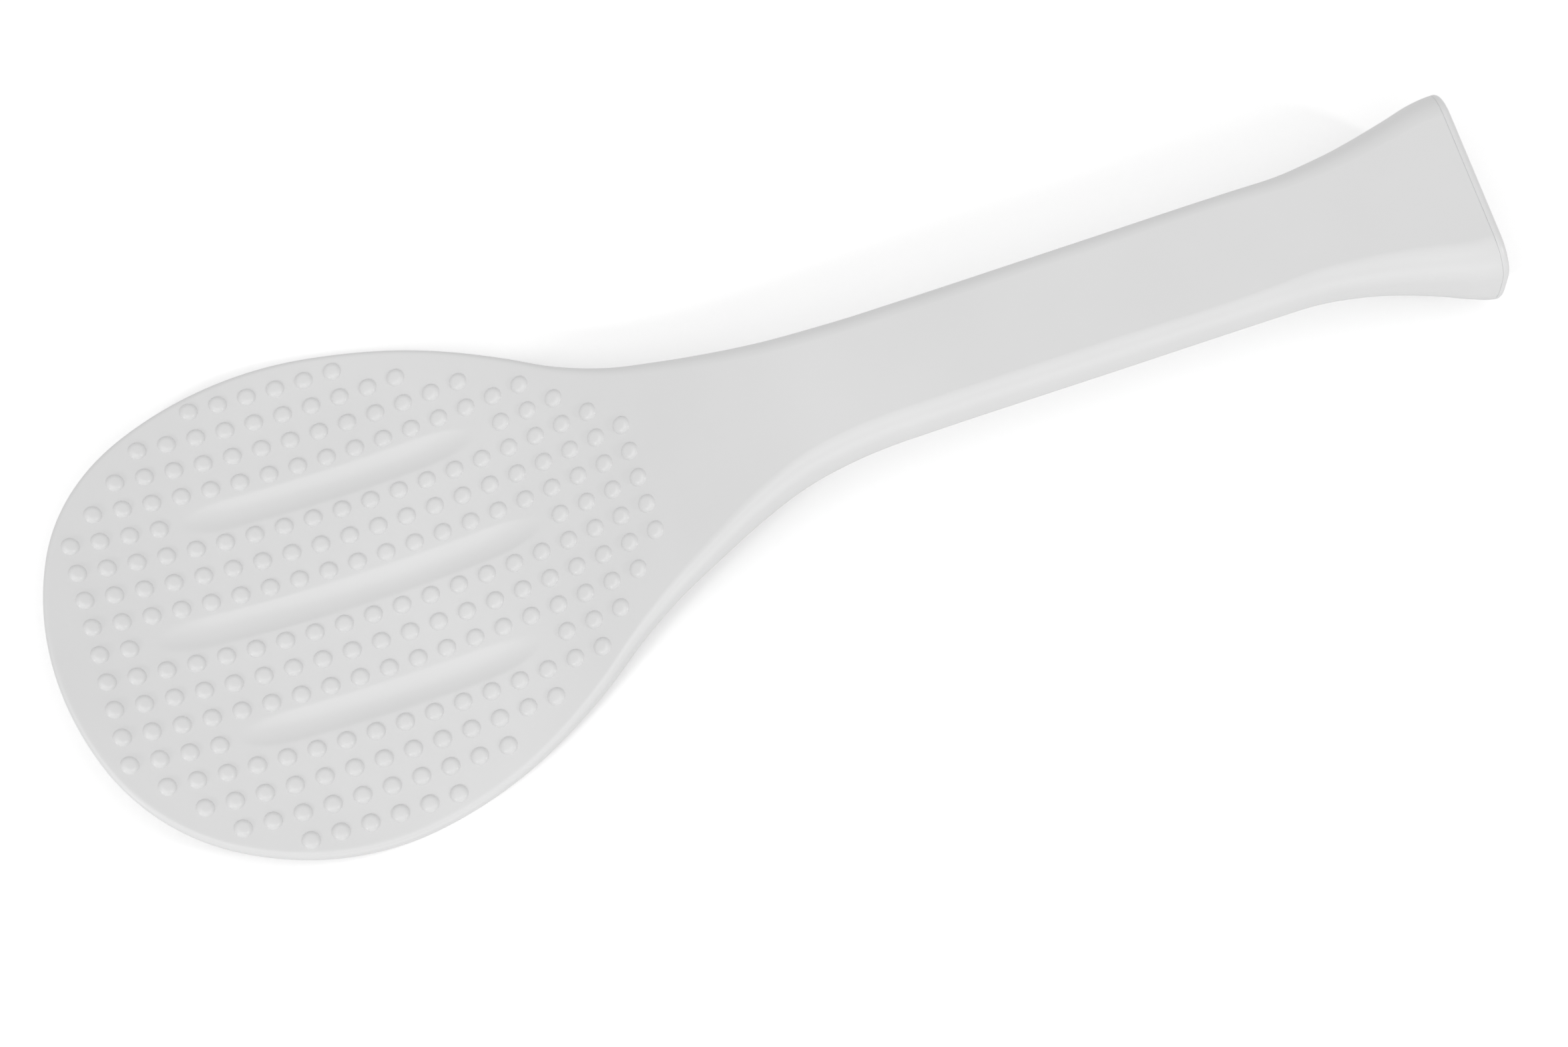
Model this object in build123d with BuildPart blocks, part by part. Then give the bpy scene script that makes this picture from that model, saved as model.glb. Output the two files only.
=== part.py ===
"""Standing rice paddle: an embossed, dished paddle moulding and the base cap that closes its hollow foot.

The paddle lies face up along X, tip at -X and foot at +X, with Z up and the table at Z = 0.
The origin is under the middle of the paddle. The dish line is the lowest line of the dished blade.
"""
from math import atan, cos, degrees, radians, sin, sqrt
import os

from build123d import *

os.makedirs("parts", exist_ok=True)

# Overall sizes, millimetres
overall_length = 209.5
blade_width = 74.8
blade_thickness = 2.4
tip_reach = 46.1
rim_round = 0.85

# Dish: the face is one long arc from the tip to the shoulder of the neck
dish_radius = 99.3
root_reach = 12.0

# Handle: a straight bar, flat on top and rounded along its edges
handle_width = 18.6
handle_depth = 10.0
handle_round = 4.5
handle_top = 22.2
handle_start_reach = 80.0

# Foot: the flare that the paddle stands on
foot_length = 30.4
foot_width = 28.6
foot_top = 21.7
foot_top_round = 4.0
foot_bottom_round = 11.5

# Hollow inside the handle and foot, open at the foot until the cap goes in
wall = 2.0
hollow_lead = 2.0
hollow_least_round = 1.0

# Base cap
cap_thickness = 1.1
cap_edge_round = 0.5
cap_skirt_wall = 1.2
cap_skirt_clearance = 0.25

# Nubs: rows along the blade, wrapped on the dish, with the rows a share of the blade's width apart
nub_pitch_along = 4.3
nub_pitch_across_share = 0.0557
nub_base_diameter = 2.75
nub_top_diameter = 2.15
nub_height = 0.5
nub_seat = 0.4
nub_sides = 6
row_closing_share = 0.0012

# Flutes: shallow troughs that run along the blade in place of some nubs
flute_width = 5.4
flute_depth = 0.7
flute_runout = 8.0
middle_flute_start = -32.7
middle_flute_end = 24.5
side_flute_start = -24.7
side_flute_end = 18.9
side_flute_row = 4

# One overrun serves every cut
overrun = 1.0

# Outline of the blade from its tip: arcs, each tangent to the last, with their turns in degrees
outline_radius_shares = (1.245, 0.798, 1.170, 1.871)
outline_turns = (20.2, 40.3, 38.5, 30.0)

# Neck: (share of its length, share of the extra width at its root, shares of the depth and round)
neck_shares = (
    (0.11, 0.860, 0.08, 0.08),
    (0.21, 0.696, 0.24, 0.20),
    (0.31, 0.506, 0.38, 0.34),
    (0.41, 0.355, 0.52, 0.50),
    (0.51, 0.243, 0.75, 0.70),
    (0.62, 0.135, 0.95, 0.88),
    (0.72, 0.061, 1.01, 0.97),
    (0.85, 0.014, 1.00, 1.00),
    (0.93, 0.002, 1.00, 1.00),
)
# Crest of the neck past its shoulder: share of the rise from the dish arc to the top of the handle
shoulder_share = 0.51
crest_shares = {0.62: 0.444, 0.72: 0.753, 0.85: 0.952, 0.93: 0.991}

# Foot: (share of its length, share of the widening, share of the deepening)
foot_shares = (
    (0.080, 0.004, 0.004),
    (0.165, 0.032, 0.017),
    (0.296, 0.132, 0.066),
    (0.434, 0.270, 0.165),
    (0.576, 0.465, 0.315),
    (0.717, 0.685, 0.510),
    (0.860, 0.920, 0.765),
)
foot_end_shares = (1, 1, 1)

# Nub rows from the middle outwards: first and last column, in pitches from the dish line
nub_column_shares = (
    (-9.5, 9.5),
    (-9.5, 9.5),
    (-9.5, 9.5),
    (-9.5, 8.5),
    (-9.5, 7.5),
    (-8.5, 6.5),
    (-7.5, 4.5),
    (-6.5, 2.5),
    (-4.5, 0.5),
)

# Places worked out from the sizes
dish_x = tip_reach - overall_length / 2
foot_end_x = overall_length / 2
mouth_x = foot_end_x - cap_thickness
root_x = dish_x + root_reach
handle_start_x = dish_x + handle_start_reach
handle_end_x = foot_end_x - foot_length
hollow_start_x = handle_start_x - hollow_lead
blade_half = blade_width / 2
nub_pitch_across = nub_pitch_across_share * blade_width
handle_half = handle_width / 2
foot_half = foot_width / 2
handle_bottom = handle_top - handle_depth
dish_centre_z = blade_thickness + dish_radius


def between(start, end, share):
    return start + (end - start) * share


def face_height(x):
    """Height of the blade's face at a place along the paddle."""
    return dish_centre_z - sqrt(dish_radius**2 - (x - dish_x) ** 2)


class Section:
    """An upright section of the neck, handle or foot: a rectangle with its upper and lower corners rounded."""

    def __init__(self, x, half_width, top, bottom, upper_round, lower_round):
        self.x = x
        self.half_width = half_width
        self.top = top
        self.bottom = bottom
        self.upper_round = upper_round
        self.lower_round = lower_round

    def inset(self, size):
        upper_round = max(self.upper_round - size, hollow_least_round)
        lower_round = max(self.lower_round - size, hollow_least_round)
        half_width = self.half_width - size
        return Section(self.x, half_width, self.top - size, self.bottom + size, upper_round, lower_round)

    def at(self, x):
        return Section(x, self.half_width, self.top, self.bottom, self.upper_round, self.lower_round)

    def sketch(self):
        with BuildSketch(Plane.YZ.offset(self.x)) as drawn:
            with Locations((0, (self.top + self.bottom) / 2)):
                Rectangle(2 * self.half_width, self.top - self.bottom)
            fillet(drawn.vertices().sort_by(Axis.Y)[2:], radius=self.upper_round)
            fillet(drawn.vertices().sort_by(Axis.Y)[:2], radius=self.lower_round)
        return drawn.sketch


def handle_section(x):
    return Section(x, handle_half, handle_top, handle_bottom, handle_round, handle_round)


def foot_section(share, width_share, depth_share):
    return Section(
        between(handle_end_x, foot_end_x, share),
        between(handle_half, foot_half, width_share),
        between(handle_top, foot_top, share),
        between(handle_bottom, 0, depth_share),
        between(handle_round, foot_top_round, share),
        between(handle_round, foot_bottom_round, depth_share),
    )


handle_start = handle_section(handle_start_x)
handle_end = handle_section(handle_end_x)
foot = [foot_section(*row) for row in foot_shares]
mouth = foot_section(*foot_end_shares).at(mouth_x)

# Blade plate: the outline cut through the dish, its rim rounded, trimmed where the neck takes over
with BuildPart() as blade:
    with BuildSketch():
        with BuildLine():
            place = (-foot_end_x, 0)
            heading = (0, 1)
            for radius_share, turn in zip(outline_radius_shares, outline_turns):
                arc = JernArc(place, heading, radius_share * blade_half, -turn)
                place = arc @ 1
                heading = arc % 1
            Line(place, (place.X, 0))
            mirror(about=Plane.XZ)
        make_face()
    extrude(amount=dish_centre_z)
    with BuildSketch(Plane.XZ):
        with Locations((dish_x, dish_centre_z)):
            Circle(dish_radius + blade_thickness)
            Circle(dish_radius, mode=Mode.SUBTRACT)
    extrude(amount=blade_width, both=True, mode=Mode.INTERSECT)
    fillet(blade.edges().filter_by(GeomType.BSPLINE), radius=rim_round)
    split(bisect_by=Plane.YZ.offset(root_x), keep=Keep.BOTTOM)
blade_root = blade.faces().sort_by(Axis.X)[-1]
root_half = blade_root.bounding_box().max.Y


def neck_section(share, width_share, depth_share, round_share):
    x = between(root_x, handle_start_x, share)
    top = face_height(x)
    if share in crest_shares:
        shoulder_z = face_height(between(root_x, handle_start_x, shoulder_share))
        top = between(shoulder_z, handle_top, crest_shares[share])
    half_width = between(handle_half, root_half, width_share)
    depth = between(blade_thickness, handle_depth, depth_share)
    corner = between(rim_round, handle_round, round_share)
    return Section(x, half_width, top, top - depth, corner, corner)


# Neck from the blade's root, straight handle and flared foot
neck = [neck_section(*row) for row in neck_shares]
with BuildPart() as shank:
    loft(sections=[blade_root] + [section.sketch() for section in neck + [handle_start]])
    extrude(handle_start.sketch(), amount=handle_end_x - handle_start_x)
    loft(sections=[section.sketch() for section in [handle_end] + foot + [mouth]])

# Hollow: the handle and foot less their wall, run out through the mouth
with BuildPart() as hollow:
    extrude(handle_start.at(hollow_start_x).inset(wall).sketch(), amount=handle_end_x - hollow_start_x)
    loft(sections=[section.inset(wall).sketch() for section in [handle_end] + foot + [mouth]])
    extrude(mouth.inset(wall).sketch(), amount=overrun)

# Nub: a flat-topped stud with its root seated in the face
nub_slope = (nub_base_diameter - nub_top_diameter) / 2 / nub_height
with BuildPart() as nub:
    with BuildSketch(Plane.XY.offset(-nub_seat)):
        RegularPolygon(nub_base_diameter / 2 + nub_slope * nub_seat, nub_sides)
    extrude(amount=nub_seat + nub_height, taper=degrees(atan(nub_slope)))


def flute_span(row):
    """Start and end of the flute that takes the place of part of a nub row, measured on the face."""
    spans = {0: (middle_flute_start, middle_flute_end), side_flute_row: (side_flute_start, side_flute_end)}
    return spans.get(row)


def row_offset(row, column):
    return row * nub_pitch_across * (1 - row_closing_share * column)


def on_face(along, across):
    """Plane on the face, its Z out of the face, at a distance along the dish and across it."""
    turn = along / dish_radius
    return Plane(
        origin=(dish_x + dish_radius * sin(turn), across, dish_centre_z - dish_radius * cos(turn)),
        x_dir=(cos(turn), 0, sin(turn)),
        z_dir=(-sin(turn), 0, cos(turn)),
    )


def row_columns(row):
    """Columns of a nub row that hold a nub, leaving out those that its flute takes."""
    first, last = nub_column_shares[row]
    columns = [first + step for step in range(int(last - first) + 1)]
    span = flute_span(row)
    if span is None:
        return columns
    start = span[0] / nub_pitch_along
    end = span[1] / nub_pitch_along
    return [column for column in columns if column < start - 1 / 2 or column > end + 1 / 2]


nub_places = []
for row in range(len(nub_column_shares)):
    for column in row_columns(row):
        for side in {row_offset(row, column), -row_offset(row, column)}:
            nub_places.append(on_face(column * nub_pitch_along, side))

# Flutes: a round tube run along the dish cuts the trough and rises out of the face at both ends
tube_radius = ((flute_width / 2) ** 2 + flute_depth**2) / (2 * flute_depth)
floor_radius = dish_radius + flute_depth
runout_radius = 1 / (2 * flute_depth / flute_runout**2 + 1 / floor_radius)
runout_turn = degrees(flute_runout / runout_radius)
side_offset = row_offset(side_flute_row, 0)
flutes = [(*flute_span(0), 0)] + [(*flute_span(side_flute_row), side) for side in (side_offset, -side_offset)]

with BuildPart() as flute_cutters:
    for start, end, across in flutes:
        level_start = (start + flute_runout) / dish_radius
        level_end = (end - flute_runout) / dish_radius
        with BuildLine(Plane.XZ.offset(-across)) as path:
            level = CenterArc(
                (dish_x, dish_centre_z),
                floor_radius - tube_radius,
                degrees(radians(270) + level_start),
                degrees(level_end - level_start),
            )
            JernArc(level @ 1, level % 1, runout_radius - tube_radius, runout_turn)
            JernArc(level @ 0, -(level % 0), runout_radius - tube_radius, -runout_turn)
        trough_line = path.wires()[0]
        with BuildSketch(Plane(origin=trough_line @ 0, z_dir=trough_line % 0)):
            Circle(tube_radius)
        sweep(path=trough_line)

# Paddle moulding
with BuildPart() as paddle:
    add(blade.part)
    add(shank.part)
    add(flute_cutters.part, mode=Mode.SUBTRACT)
    add([nub.part.moved(place.location) for place in nub_places])
    add(hollow.part, mode=Mode.SUBTRACT)
paddle.part.label = "paddle"

# Base cap: a flange on the mouth with a skirt that plugs into the hollow
with BuildPart() as base_cap:
    extrude(mouth.sketch(), amount=cap_thickness)
    fillet(base_cap.faces().sort_by(Axis.X)[-1].edges(), radius=cap_edge_round)
    skirt_inset = wall + cap_skirt_clearance
    loft(sections=[section.inset(skirt_inset).sketch() for section in (foot[-1], mouth)])
    socket_inset = skirt_inset + cap_skirt_wall
    loft(
        sections=[section.inset(socket_inset).sketch() for section in (foot[-1], mouth)],
        mode=Mode.SUBTRACT,
    )
base_cap.part.label = "base_cap"

for piece in (paddle, base_cap):
    export_step(piece.part, f"parts/{piece.part.label}.step")
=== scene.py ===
"""A white plastic rice paddle that stands on its foot, dressed over its frame.

Every shape is worked out in millimetres in the frame's own axes: X runs from the blade's tip to the
foot, Y across the blade, Z up out of the face. Meshes are scaled to metres as they are made.
"""

import bpy
import bmesh
import numpy as np
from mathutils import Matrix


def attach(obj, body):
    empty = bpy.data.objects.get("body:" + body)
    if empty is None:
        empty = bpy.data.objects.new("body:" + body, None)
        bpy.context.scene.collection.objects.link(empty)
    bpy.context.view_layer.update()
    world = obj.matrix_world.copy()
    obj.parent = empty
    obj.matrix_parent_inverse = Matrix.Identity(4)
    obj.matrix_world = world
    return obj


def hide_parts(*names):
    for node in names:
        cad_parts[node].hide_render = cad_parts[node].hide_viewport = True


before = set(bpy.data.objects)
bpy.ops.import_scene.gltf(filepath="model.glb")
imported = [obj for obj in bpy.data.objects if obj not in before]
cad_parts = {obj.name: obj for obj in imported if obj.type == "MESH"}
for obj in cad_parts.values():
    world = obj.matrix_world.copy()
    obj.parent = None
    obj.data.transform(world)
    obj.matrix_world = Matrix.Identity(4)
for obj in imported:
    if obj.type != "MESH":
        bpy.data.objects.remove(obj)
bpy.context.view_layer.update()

# Paddle moulding
# Blade, neck, handle and foot are one injection moulding in white polypropylene with a satin face.
# It lies on the belly of its blade and the rim of its foot. The real handle is hollow, and here the
# moulding is closed at the mouth that the cap covers.
tip_x = -104.75
mouth_x = 103.65
foot_end_x = 104.75
dish_x = -58.65
dish_radius = 99.3
dish_centre_z = 101.7
blade_half = 37.4
blade_thickness = 2.4
rim_round = 0.85
# A reach is a distance along X from the dish line, where the blade's face is lowest
root_reach = 12.0
neck_length = 68.0
handle_half = 9.28
handle_top = 22.2
handle_depth = 10.0
handle_top_round = 2.6
handle_bottom_round = 4.8
handle_middle_reach = 106.5
handle_end_reach = 133.0
foot_length = 30.4
foot_half = 14.55
foot_top = 21.7
foot_top_round = 5.0
foot_bottom_round = 11.5
mouth_round = 0.1
outline_radii = np.array([1.245, 0.798, 1.170, 1.871]) * blade_half
outline_turns = np.radians([20.2, 40.3, 38.5, 30.0])
points_per_arc = 400
column_step = 0.9
crown_rows = 120
round_rows = 7
belly_rows = 16
shoulder_share = 0.51
shoulder_reach = root_reach + neck_length * shoulder_share


def smooth_through(x, places, values):
    """A smooth curve through given values: between two places it is the cubic that meets both values with
    the slope that the values beside each place give it."""
    slopes = np.gradient(values, places)
    left = np.clip(np.searchsorted(places, x, side="right") - 1, 0, len(places) - 2)
    gap = places[left + 1] - places[left]
    u = np.clip((x - places[left]) / gap, 0, 1)
    start = values[left] * (1 + 2 * u) * (1 - u) ** 2 + slopes[left] * gap * u * (1 - u) ** 2
    end = values[left + 1] * (3 - 2 * u) * u**2 - slopes[left + 1] * gap * (1 - u) * u**2
    return start + end


def arc_face(reach, radius=dish_radius):
    """Height of a circle about the dish's centre line at a distance along X from the dish line."""
    return dish_centre_z - np.sqrt(radius**2 - np.clip(reach, -radius, radius) ** 2)


def blade_outline():
    """Half of the blade's outline from the tip. It is four arcs, each tangent to the last, and a point on
    an arc is the arc's centre plus its radius at a right angle to the heading there."""
    point = np.array([tip_x - dish_x, 0.0])
    heading = np.pi / 2
    runs = []
    for radius, turn in zip(outline_radii, outline_turns):
        turned = heading - np.linspace(0, turn, points_per_arc)
        centre = point + radius * np.array([np.sin(heading), -np.cos(heading)])
        runs.append(centre + radius * np.stack([-np.sin(turned), np.cos(turned)], axis=1))
        point = runs[-1][-1]
        heading = turned[-1]
    return np.concatenate(runs)


arcs = blade_outline()
widest_reach = arcs[np.argmax(arcs[:, 1]), 0]
root_half = np.interp(root_reach, arcs[:, 0], arcs[:, 1])

# Neck stations: shares of its length, of the extra width at its root, of the depth and of the rounding
neck = np.array([
    (0.11, 0.860, 0.08, 0.08),
    (0.21, 0.696, 0.24, 0.20),
    (0.31, 0.506, 0.38, 0.34),
    (0.41, 0.355, 0.52, 0.50),
    (0.51, 0.243, 0.75, 0.70),
    (0.62, 0.135, 0.95, 0.88),
    (0.72, 0.061, 1.01, 0.97),
    (0.85, 0.014, 1.00, 1.00),
    (0.93, 0.002, 1.00, 1.00),
    (1.00, 0.000, 1.00, 1.00),
])
# Crest of the neck past its shoulder: shares of its length and of the rise to the handle's top
crest = np.array([(0.62, 0.444), (0.72, 0.753), (0.85, 0.952), (0.93, 0.991), (1.0, 1.0)])
# Foot stations: shares of its length, of the widening and of the deepening
foot = np.array([
    (0.000, 0.000, 0.000),
    (0.080, 0.004, 0.004),
    (0.165, 0.032, 0.017),
    (0.296, 0.132, 0.066),
    (0.434, 0.270, 0.165),
    (0.576, 0.465, 0.315),
    (0.717, 0.685, 0.510),
    (0.860, 0.920, 0.765),
    (0.964, 1.000, 1.000),
    (1.000, 1.000, 1.000),
])
blade_reaches = np.array([4.0, 8.0, 12.0])
neck_reaches = root_reach + neck_length * neck[:, 0]
foot_reaches = handle_end_reach + foot_length * foot[:, 0]
shank_reaches = np.concatenate([blade_reaches, neck_reaches, [handle_middle_reach], foot_reaches])
shank_widths = np.concatenate([
    np.interp(blade_reaches, arcs[:, 0], arcs[:, 1]),
    handle_half + (root_half - handle_half) * neck[:, 1],
    [handle_half],
    handle_half + (foot_half - handle_half) * foot[:, 1],
])
shank_depths = np.concatenate([
    arc_face(blade_reaches) - arc_face(blade_reaches, dish_radius + blade_thickness),
    blade_thickness + (handle_depth - blade_thickness) * neck[:, 2],
    [handle_depth],
    handle_depth + (foot_top - handle_top) * foot[:, 0] + (handle_top - handle_depth) * foot[:, 2],
])


def rounds_along(handle_round, foot_round, foot_shares):
    """Radii of the rounded corners at the stations, from the blade's rim to the foot."""
    return np.concatenate([
        np.full(len(blade_reaches), rim_round),
        rim_round + (handle_round - rim_round) * neck[:, 3],
        [handle_round],
        handle_round + (foot_round - handle_round) * foot_shares,
    ])


top_rounds = rounds_along(handle_top_round, foot_top_round, foot[:, 0])
bottom_rounds = rounds_along(handle_bottom_round, foot_bottom_round, foot[:, 2])
shoulder_z = arc_face(shoulder_reach)
dish_reaches = np.array([30.0, 38.0, shoulder_reach])
top_reaches = np.concatenate([
    dish_reaches,
    root_reach + neck_length * crest[:, 0],
    [handle_middle_reach, handle_end_reach, handle_end_reach + foot_length],
])
top_heights = np.concatenate([
    arc_face(dish_reaches),
    shoulder_z + (handle_top - shoulder_z) * crest[:, 1],
    [handle_top, handle_top, foot_top],
])


def half_width(reach):
    """Half the width at a reach: the outline's arcs as far as the root, then what the stations give."""
    on_arcs = np.interp(reach, arcs[:, 0], arcs[:, 1])
    return np.where(reach < root_reach, on_arcs, smooth_through(reach, shank_reaches, shank_widths))


def top_height(reach):
    """Height of the top along the middle: the dish's arc to the shoulder, then the crest, then level, and
    down a little to the foot's end."""
    crest_line = np.minimum(smooth_through(reach, top_reaches, top_heights), handle_top)
    return np.where(reach < shoulder_reach, arc_face(reach), crest_line)


def depth_at(reach):
    """Upright thickness: that of the dished plate on the blade, then what the stations give."""
    plate = arc_face(reach) - arc_face(reach, dish_radius + blade_thickness)
    return np.where(reach < root_reach, plate, smooth_through(reach, shank_reaches, shank_depths))


def round_at(reach, rounds):
    """Radius of the upper or lower corners: the rim's as far as the root, then what the stations give."""
    return np.where(reach < root_reach, rim_round, smooth_through(reach, shank_reaches, rounds))


def edge_inset(x, end_x, radius):
    """How far a section draws in near a rounded end: the radius less the root of the radius squared less
    the square of the distance past the rounding's start."""
    past = np.clip(x - (end_x - radius), 0, radius)
    return radius - np.sqrt(radius**2 - past**2)


# Flutes: three shallow troughs pressed into the face, the outer two shorter and on the fourth row of nubs
# each side of the middle one. Each has a start and an end along the curved face and a middle across it.
# They fade out within the first third of the plate's thickness.
nub_pitch_share = 0.0557
nub_pitch_across = nub_pitch_share * 2 * blade_half
flute_width = 4.5
flute_depth = 0.4
flute_runout = 8.0
flute_softness = 0.02
flute_fade = 3
sine_limit = 0.99
flutes = ((-32.7, 24.5, 0.0), (-24.7, 18.9, 4 * nub_pitch_across), (-24.7, 18.9, -4 * nub_pitch_across))


def flute_field(reach, across):
    """Depth of the flutes: a round trough whose floor rises as a parabola at both ends. Its edge is soft,
    as the depth taken is half the sum of the depth and of the root of its square and a small square."""
    along = dish_radius * np.arcsin(np.clip(reach / dish_radius, -sine_limit, sine_limit))
    tube = ((flute_width / 2) ** 2 + flute_depth**2) / (2 * flute_depth)
    field = np.zeros_like(along)
    for start, end, middle in flutes:
        past = np.maximum(start + flute_runout - along, along - (end - flute_runout))
        floor = flute_depth * (1 - (np.maximum(past, 0) / flute_runout) ** 2)
        aside = np.minimum(np.abs(across - middle), tube)
        trough = np.sqrt(tube**2 - aside**2) - tube + floor
        field = field + (trough + np.sqrt(trough**2 + flute_softness**2)) / 2
    return field


millimetres_per_metre = 1000
merge_metres = 1e-7


def mesh_object(name, points, faces, material):
    """A closed, smooth-shaded object from points in millimetres, with doubles merged and faces outwards."""
    mesh = bpy.data.meshes.new(name)
    mesh.from_pydata((np.asarray(points) / millimetres_per_metre).tolist(), [], faces)
    form = bmesh.new()
    form.from_mesh(mesh)
    bmesh.ops.remove_doubles(form, verts=form.verts, dist=merge_metres)
    bmesh.ops.recalc_face_normals(form, faces=form.faces)
    form.to_mesh(mesh)
    form.free()
    mesh.polygons.foreach_set("use_smooth", [True] * len(mesh.polygons))
    mesh.materials.append(material)
    piece = bpy.data.objects.new(name, mesh)
    bpy.context.scene.collection.objects.link(piece)
    return piece


def grid_faces(columns, rows):
    """Four-sided faces between neighbouring columns and rows of a grid stored column by column."""
    corner = np.arange(columns - 1)[:, None] * rows + np.arange(rows - 1)[None, :]
    corner = corner.ravel()
    return np.stack([corner, corner + 1, corner + rows + 1, corner + rows], axis=1)


white_colour = (0.75, 0.75, 0.75)
cloud_shade = 0.975


def plastic(name, colour):
    """Moulded plastic: faint clouding in the colour, a satin gloss that varies with it, and the fine ripple
    that a polished mould leaves."""
    material = bpy.data.materials.new(name)
    material.use_nodes = True
    nodes = material.node_tree.nodes
    links = material.node_tree.links
    shader = nodes["Principled BSDF"]
    shader.inputs["IOR"].default_value = 1.49
    place = nodes.new("ShaderNodeTexCoord")

    cloud = nodes.new("ShaderNodeTexNoise")
    cloud.inputs["Scale"].default_value = 45
    cloud.inputs["Detail"].default_value = 4
    links.new(place.outputs["Object"], cloud.inputs["Vector"])
    tint = nodes.new("ShaderNodeValToRGB")
    tint.color_ramp.elements[0].position = 0.3
    tint.color_ramp.elements[0].color = (*[share * cloud_shade for share in colour], 1)
    tint.color_ramp.elements[1].position = 0.7
    tint.color_ramp.elements[1].color = (*colour, 1)
    links.new(cloud.outputs["Fac"], tint.inputs["Fac"])
    links.new(tint.outputs["Color"], shader.inputs["Base Color"])

    gloss = nodes.new("ShaderNodeMapRange")
    gloss.inputs["To Min"].default_value = 0.25
    gloss.inputs["To Max"].default_value = 0.33
    links.new(cloud.outputs["Fac"], gloss.inputs["Value"])
    links.new(gloss.outputs["Result"], shader.inputs["Roughness"])

    ripple = nodes.new("ShaderNodeTexNoise")
    ripple.inputs["Scale"].default_value = 260
    ripple.inputs["Detail"].default_value = 3
    links.new(place.outputs["Object"], ripple.inputs["Vector"])
    bump = nodes.new("ShaderNodeBump")
    bump.inputs["Strength"].default_value = 0.08
    bump.inputs["Distance"].default_value = 0.0004
    links.new(ripple.outputs["Fac"], bump.inputs["Height"])
    links.new(bump.outputs["Normal"], shader.inputs["Normal"])
    return material


body_plastic = plastic("white_polypropylene", white_colour)
edge_step = 0.1
least_round = 0.1
mouth_columns = 4


def moulding_surface():
    """The moulding as a grid. Each column starts on the middle line of the top, runs out to a point of the
    outline, goes round the edge as two quarter circles and comes back underneath. Columns fan out round
    the tip from the blade's widest place, and stand square to the middle line from there to the foot."""
    tip_run = arcs[arcs[:, 0] < root_reach]
    shank_run = np.arange(root_reach, mouth_x - dish_x - mouth_round, edge_step)
    edge = np.concatenate([tip_run, np.stack([shank_run, half_width(shank_run)], axis=1)])
    run = np.concatenate([[0], np.cumsum(np.hypot(*np.diff(edge, axis=0).T))])
    stops = np.linspace(0, run[-1], int(run[-1] / column_step) + 1)
    edge_x = np.interp(stops, run, edge[:, 0])
    turn = np.linspace(0, np.pi / 2, mouth_columns + 1)[1:]
    edge_x = np.concatenate([edge_x, mouth_x - dish_x - mouth_round * (1 - np.sin(turn))])
    edge_y = np.concatenate([np.interp(stops, run, edge[:, 1]), half_width(edge_x[-mouth_columns:])])
    inset = edge_inset(edge_x, mouth_x - dish_x, mouth_round)
    edge_y = edge_y - inset
    hub = np.maximum(edge_x, widest_reach)
    reach_out = np.hypot(edge_x - hub, edge_y)
    aim_x = (edge_x - hub) / reach_out
    aim_y = edge_y / reach_out
    depth = (depth_at(edge_x) - 2 * inset)[:, None]
    upper = np.maximum(round_at(edge_x, top_rounds) - inset, least_round)[:, None]
    lower = np.maximum(round_at(edge_x, bottom_rounds) - inset, least_round)[:, None]
    top_flat = reach_out[:, None] - upper
    bottom_flat = reach_out[:, None] - lower
    out = np.linspace(0, 1, crown_rows)[None, :-1]
    bend = np.linspace(0, np.pi / 2, round_rows)[None, :]
    back = np.linspace(1, 0, belly_rows)[None, 1:]
    across = np.concatenate([
        top_flat * out,
        top_flat + upper * np.sin(bend),
        bottom_flat + lower * np.cos(bend),
        bottom_flat * back,
    ], axis=1)
    drop = np.concatenate([
        np.zeros_like(top_flat * out),
        upper * (1 - np.cos(bend)),
        depth - lower * (1 - np.sin(bend)),
        np.repeat(depth, belly_rows - 1, axis=1),
    ], axis=1)
    reach = hub[:, None] + aim_x[:, None] * across
    y = aim_y[:, None] * across
    under = drop / depth
    on_fan = (edge_x < widest_reach)[:, None]
    plate = arc_face(reach) - arc_face(reach, dish_radius + blade_thickness)
    drop = np.where(on_fan, under * plate, drop)
    z = top_height(reach) - inset[:, None] - drop
    z = z - flute_field(reach, y) * np.clip(1 - flute_fade * under, 0, 1)
    near = np.stack([reach + dish_x, -y, z], axis=2)
    far = np.stack([reach + dish_x, y, z], axis=2)
    return np.concatenate([near[::-1], far[1:]])


surface = moulding_surface()
columns, rows = surface.shape[:2]
skin_faces = grid_faces(columns, rows)
mouth_loop = np.concatenate([np.arange(rows), (columns - 1) * rows + np.arange(rows)[::-1]])
mouth_loop = np.delete(mouth_loop, [rows, len(mouth_loop) - 1])
moulding = mesh_object(
    "paddle_moulding", surface.reshape(-1, 3), skin_faces.tolist() + [mouth_loop.tolist()], body_plastic
)
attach(moulding, "root")
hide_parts("paddle")

# Nubs
# Low studs with flat tops and rounded shoulders keep cooked rice from sticking. They are of the blade's
# own plastic, moulded with it, in rows that follow the dish and close up a little towards the neck.
nub_pitch_along = 4.3
row_closing_share = 0.0012
flute_clearance = 0.5
same_row = 1.0
nub_sides = 20
nub_height = 0.5
nub_round = 0.9
nub_flat = 0.54
nub_bend = np.radians([0, 15, 26, 38, 51, 64, 77, 90])
nub_radii = nub_flat + nub_round * np.cos(nub_bend)
nub_heights = nub_height - nub_round * (1 - np.sin(nub_bend))
# First and last column of each row, from the middle row outwards, in pitches from the dish line
nub_columns = (
    (-9.5, 9.5),
    (-9.5, 9.5),
    (-9.5, 9.5),
    (-9.5, 8.5),
    (-9.5, 7.5),
    (-8.5, 6.5),
    (-7.5, 4.5),
    (-6.5, 2.5),
    (-4.5, 0.5),
)


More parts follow.
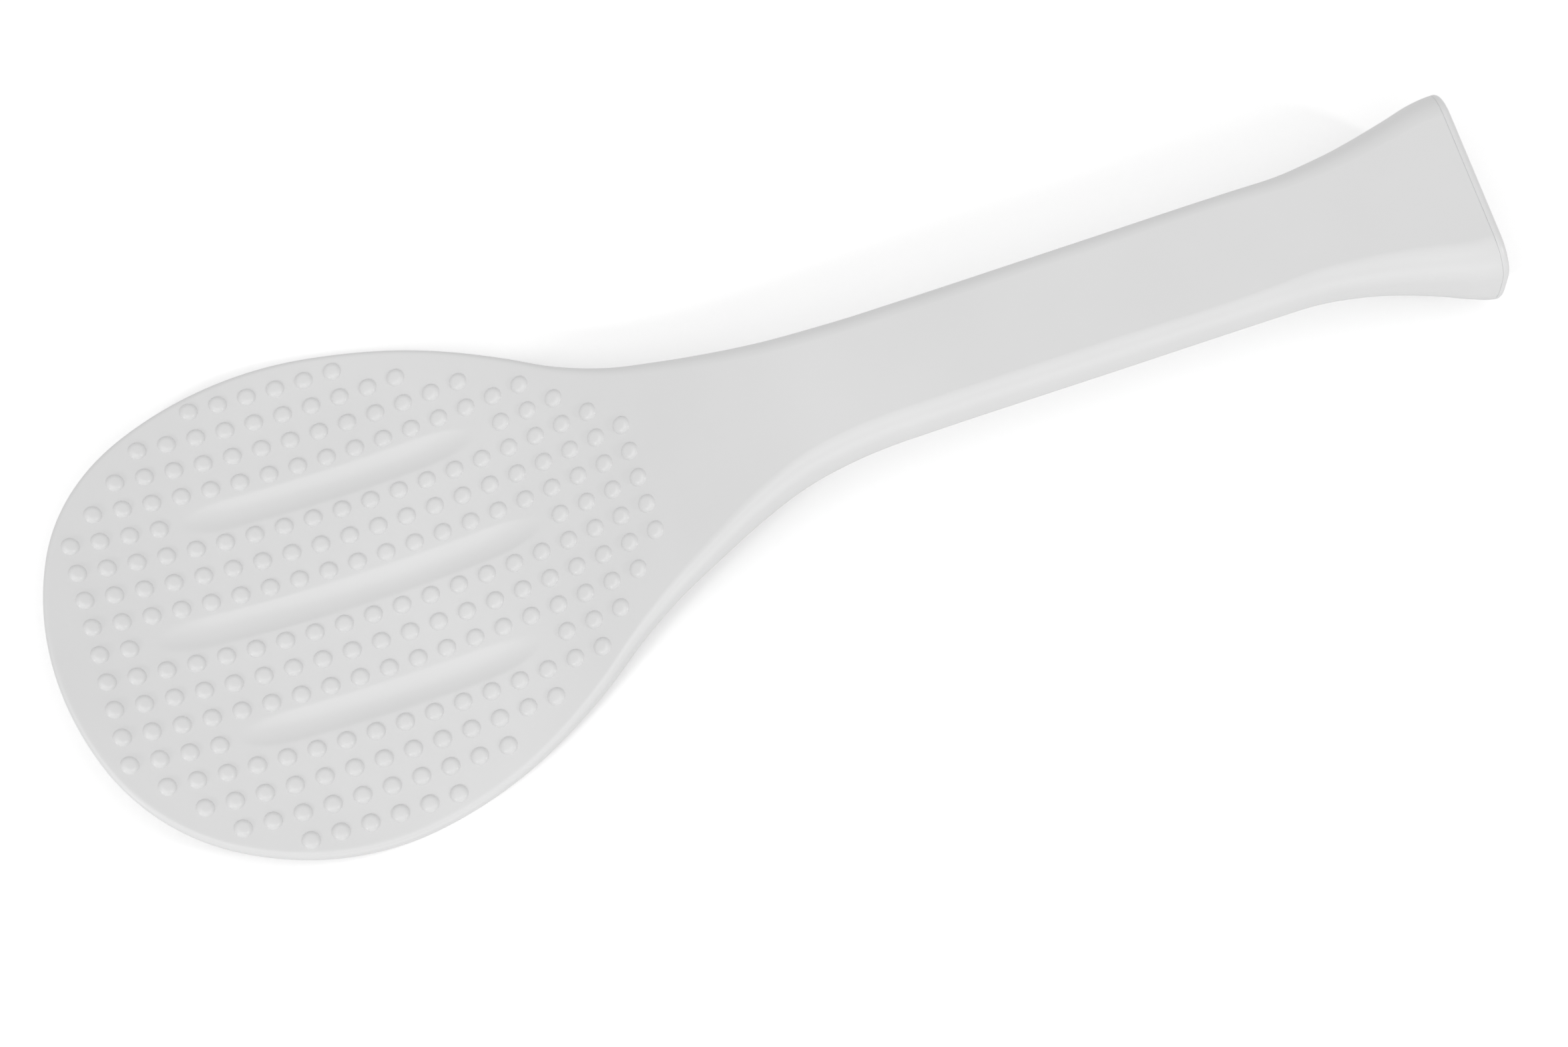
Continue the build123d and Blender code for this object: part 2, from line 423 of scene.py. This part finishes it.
def nub_places():
    """Places of the nubs as distances along and across the face, without those on the flutes. A row on one
    side of the middle is repeated on the other."""
    places = []
    for row, (first, last) in enumerate(nub_columns):
        column = np.arange(first, last + 0.5)
        taken = np.zeros(len(column), bool)
        for start, end, middle in flutes:
            if abs(middle - row * nub_pitch_across) < same_row:
                low = start / nub_pitch_along - flute_clearance
                high = end / nub_pitch_along + flute_clearance
                taken = (column >= low) & (column <= high)
        column = column[~taken]
        across = row * nub_pitch_across * (1 - row_closing_share * column)
        places.append(np.stack([column * nub_pitch_along, across], axis=1))
        if row > 0:
            places.append(np.stack([column * nub_pitch_along, -across], axis=1))
    return np.concatenate(places)


def nub_field(places):
    """Every nub as its profile turned about the face's normal at its place: a ring's radius times the
    cosine and sine of the angle round it, raised along the normal by the ring's height."""
    turn = places[:, 0] / dish_radius
    foot_point = np.stack([
        dish_x + dish_radius * np.sin(turn),
        places[:, 1],
        dish_centre_z - dish_radius * np.cos(turn),
    ], axis=1)
    along = np.stack([np.cos(turn), 0 * turn, np.sin(turn)], axis=1)
    normal = np.stack([-np.sin(turn), 0 * turn, np.cos(turn)], axis=1)
    angle = np.arange(nub_sides) * 2 * np.pi / nub_sides
    ring_x = nub_radii[:, None] * np.cos(angle)
    ring_y = nub_radii[:, None] * np.sin(angle)
    points = foot_point[:, None, None, :] + ring_x[None, :, :, None] * along[:, None, None, :]
    points = points + nub_heights[None, :, None, None] * normal[:, None, None, :]
    points[..., 1] += ring_y[None]
    return points


nub_points = nub_field(nub_places())
nub_count, nub_rings = nub_points.shape[:2]
ring_start = np.arange(nub_rings - 1)[:, None] * nub_sides
side = np.arange(nub_sides)[None, :]
after = (side + 1) % nub_sides
band = np.stack([ring_start + side, ring_start + after, ring_start + nub_sides + after,
                 ring_start + nub_sides + side], axis=2).reshape(-1, 4)
first_points = np.arange(nub_count) * nub_rings * nub_sides
bands = (first_points[:, None, None] + band[None]).reshape(-1, 4)
crowns = first_points[:, None] + (nub_rings - 1) * nub_sides + np.arange(nub_sides)[None]
seats = first_points[:, None] + np.arange(nub_sides)[None, ::-1]
nubs = mesh_object(
    "blade_nubs",
    nub_points.reshape(-1, 3),
    bands.tolist() + crowns.tolist() + seats.tolist(),
    body_plastic,
)
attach(nubs, "root")
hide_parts("paddle")

# Base cap
# The cap that closes the hollow foot: a thin flange with a rounded edge on the foot's mouth, and a skirt
# pressed into the hollow. It is of the same white plastic, with a fine groove where the two meet.
cap_plastic = plastic("white_cap_polypropylene", white_colour)
cap_edge_round = 0.8
cap_groove_round = 0.1
cap_face_inset = 3.0
foot_wall = 2.0
skirt_clearance = 0.25
skirt_inset = foot_wall + skirt_clearance
skirt_wall = 1.2
skirt_root_step = 0.3
skirt_start_share = 0.86
skirt_start_reach = handle_end_reach + foot_length * skirt_start_share
least_corner = 0.6
corner_points = 12
round_rings = 6
reach_slack = 0.01


def ring(reach, inset):
    """The foot's section at each reach, drawn in all round by an inset: a rectangle with its corners
    rounded by quarter circles, the upper two alike and the lower two alike."""
    half = smooth_through(reach, shank_reaches, shank_widths) - inset
    top = smooth_through(reach, top_reaches, top_heights) - inset
    bottom = top + 2 * inset - smooth_through(reach, shank_reaches, shank_depths)
    upper = np.maximum(smooth_through(reach, shank_reaches, top_rounds) - inset, least_corner)[:, None]
    lower = np.maximum(smooth_through(reach, shank_reaches, bottom_rounds) - inset, least_corner)[:, None]
    quarter = np.linspace(0, np.pi / 2, corner_points)
    sweep = np.concatenate([quarter + k * np.pi / 2 for k in range(4)])
    sign_y = np.repeat([1, -1, -1, 1], corner_points)
    sign_z = np.repeat([1, 1, -1, -1], corner_points)
    corner = np.where(sign_z > 0, upper, lower)
    y = sign_y * (half[:, None] - corner) + corner * np.cos(sweep)
    middle = ((top + bottom) / 2)[:, None]
    z = middle + sign_z * (((top - bottom) / 2)[:, None] - corner) + corner * np.sin(sweep)
    return y, z


end_reach = foot_end_x - dish_x
mouth_reach = mouth_x - dish_x
turn_in = np.linspace(np.pi / 2, 0, round_rings)
cap_reach = np.concatenate([
    [end_reach],
    end_reach - cap_edge_round * (1 - np.sin(turn_in)),
    mouth_reach + cap_groove_round * (1 - np.sin(turn_in[::-1])),
    [mouth_reach, mouth_reach, skirt_start_reach, skirt_start_reach, mouth_reach],
])
cap_inset = np.concatenate([
    [cap_edge_round + cap_face_inset],
    cap_edge_round * (1 - np.cos(turn_in)),
    cap_groove_round * (1 - np.cos(turn_in[::-1])),
    [skirt_inset - skirt_root_step, skirt_inset, skirt_inset],
    [skirt_inset + skirt_wall, skirt_inset + skirt_wall],
])
section_reach = np.where(cap_reach > mouth_reach - reach_slack, end_reach, cap_reach)
cap_y, cap_z = ring(section_reach, cap_inset)
loops, loop_points = cap_y.shape
cap_points = np.stack([np.repeat(cap_reach[:, None] + dish_x, loop_points, axis=1), cap_y, cap_z], axis=2)
loop_start = np.arange(loops - 1)[:, None] * loop_points
along_loop = np.arange(loop_points)[None, :]
next_point = (along_loop + 1) % loop_points
cap_sides = np.stack([loop_start + along_loop, loop_start + next_point,
                      loop_start + loop_points + next_point, loop_start + loop_points + along_loop], axis=2)
cap_ends = [np.arange(loop_points).tolist(), ((loops - 1) * loop_points + np.arange(loop_points)).tolist()]
cap = mesh_object(
    "base_cap_plug", cap_points.reshape(-1, 3), cap_sides.reshape(-1, 4).tolist() + cap_ends, cap_plastic
)
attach(cap, "root")
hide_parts("base_cap")

# Camera
# A long lens about half a metre above the paddle, looking down from the near side.
view = bpy.data.cameras.new("view")
view.sensor_width = 36
view.lens = 85.72
view.clip_start = 0.01
view.clip_end = 20
camera = bpy.data.objects.new("view", view)
camera.location = (-0.01506, -0.17899, 0.50505)
camera.rotation_euler = np.radians([18.075, 4.391, -17.851])
bpy.context.scene.collection.objects.link(camera)
bpy.context.scene.camera = camera

# Floor and light
# A plain white sheet under even light from above and from the near side, with two small lamps at the
# sides that draw the small highlights on the near edges of the nubs. Seen by the camera the sheet is full
# white with a little light of its own, and to every other ray it is a shade darker.
floor_half = 3.0
floor_corners = [
    (-floor_half, -floor_half, 0),
    (floor_half, -floor_half, 0),
    (floor_half, floor_half, 0),
    (-floor_half, floor_half, 0),
]
floor_mesh = bpy.data.meshes.new("floor")
floor_mesh.from_pydata(floor_corners, [], [(0, 1, 2, 3)])
floor = bpy.data.objects.new("floor", floor_mesh)
bpy.context.scene.collection.objects.link(floor)
paper = bpy.data.materials.new("white_paper")
paper.use_nodes = True
paper_nodes = paper.node_tree.nodes
paper_links = paper.node_tree.links
sheet = paper_nodes["Principled BSDF"]
sheet.inputs["Roughness"].default_value = 0.9
sheet.inputs["Specular IOR Level"].default_value = 0.0
ray = paper_nodes.new("ShaderNodeLightPath")
seen = paper_nodes.new("ShaderNodeMix")
seen.data_type = "RGBA"
seen.inputs["A"].default_value = (0.92, 0.92, 0.92, 1)
seen.inputs["B"].default_value = (1.0, 1.0, 1.0, 1)
paper_links.new(ray.outputs["Is Camera Ray"], seen.inputs["Factor"])
paper_links.new(seen.outputs["Result"], sheet.inputs["Base Color"])
lift = paper_nodes.new("ShaderNodeMath")
lift.operation = "MULTIPLY"
lift.inputs[1].default_value = 0.16
paper_links.new(ray.outputs["Is Camera Ray"], lift.inputs[0])
sheet.inputs["Emission Color"].default_value = (1, 1, 1, 1)
paper_links.new(lift.outputs["Value"], sheet.inputs["Emission Strength"])
floor_mesh.materials.append(paper)

world = bpy.data.worlds.new("studio")
bpy.context.scene.world = world
world.use_nodes = True
sky = world.node_tree.nodes["Background"]
sky.inputs["Color"].default_value = (1, 1, 1, 1)
sky.inputs["Strength"].default_value = 0.61


def softbox(name, place, aim, size, power):
    """A square area lamp at a place, turned to face an aim point."""
    lamp = bpy.data.lights.new(name, "AREA")
    lamp.size = size
    lamp.energy = power
    holder = bpy.data.objects.new(name, lamp)
    away = np.array(place, float) - np.array(aim, float)
    flat = np.hypot(away[0], away[1])
    holder.location = place
    holder.rotation_euler = (np.arctan2(flat, away[2]), 0, np.arctan2(away[0], -away[1]))
    bpy.context.scene.collection.objects.link(holder)


paddle_middle = (0, 0, 0)
softbox("overhead", (-0.15, -0.3, 1.25), paddle_middle, 1.2, 4.75)
softbox("near_side", (0.0, -1.0, 0.22), paddle_middle, 0.6, 0.8)
softbox("glint_left", (-0.8, -0.5, 0.6), paddle_middle, 0.1, 1.3)
softbox("glint_right", (0.75, -0.55, 0.6), paddle_middle, 0.1, 1.3)
bpy.context.scene.view_settings.view_transform = "Standard"
